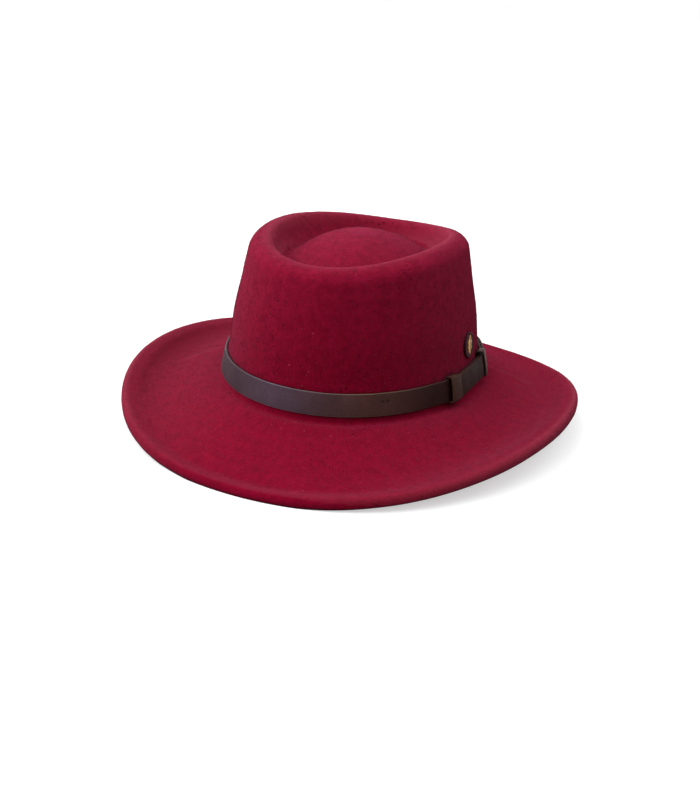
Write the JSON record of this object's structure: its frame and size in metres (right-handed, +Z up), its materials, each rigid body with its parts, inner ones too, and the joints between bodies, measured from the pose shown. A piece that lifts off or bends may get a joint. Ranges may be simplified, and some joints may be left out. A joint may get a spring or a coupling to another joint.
{
  "type": "gambler hat",
  "caption": "Felt gambler hat: oval telescope crown, wide brim dipped front and back, leather strap with two keepers, round pin badge.",
  "frame": {"origin": "on the surface that the hat rests on, at the middle of its bounding box seen from above", "axes": "+Z up, -Y to the hat's front, +X to the wearer's left, where the keepers and the badge are"},
  "size_m": [0.3044, 0.3258, 0.1222],
  "materials": {
    "felt": "wine-red wool felt, fine matt nap",
    "strap_leather": "dark brown leather, satin, fine grain",
    "badge_brass": "polished brass, slightly worn",
    "badge_enamel": "dark glossy enamel"
  },
  "bodies": {
    "root": {"felt_body": "felt", "hat_band": "strap_leather", "keeper_front": "strap_leather", "keeper_rear": "strap_leather", "badge_base": "badge_brass", "badge_enamel": "badge_enamel"}
  },
  "joints": []
}
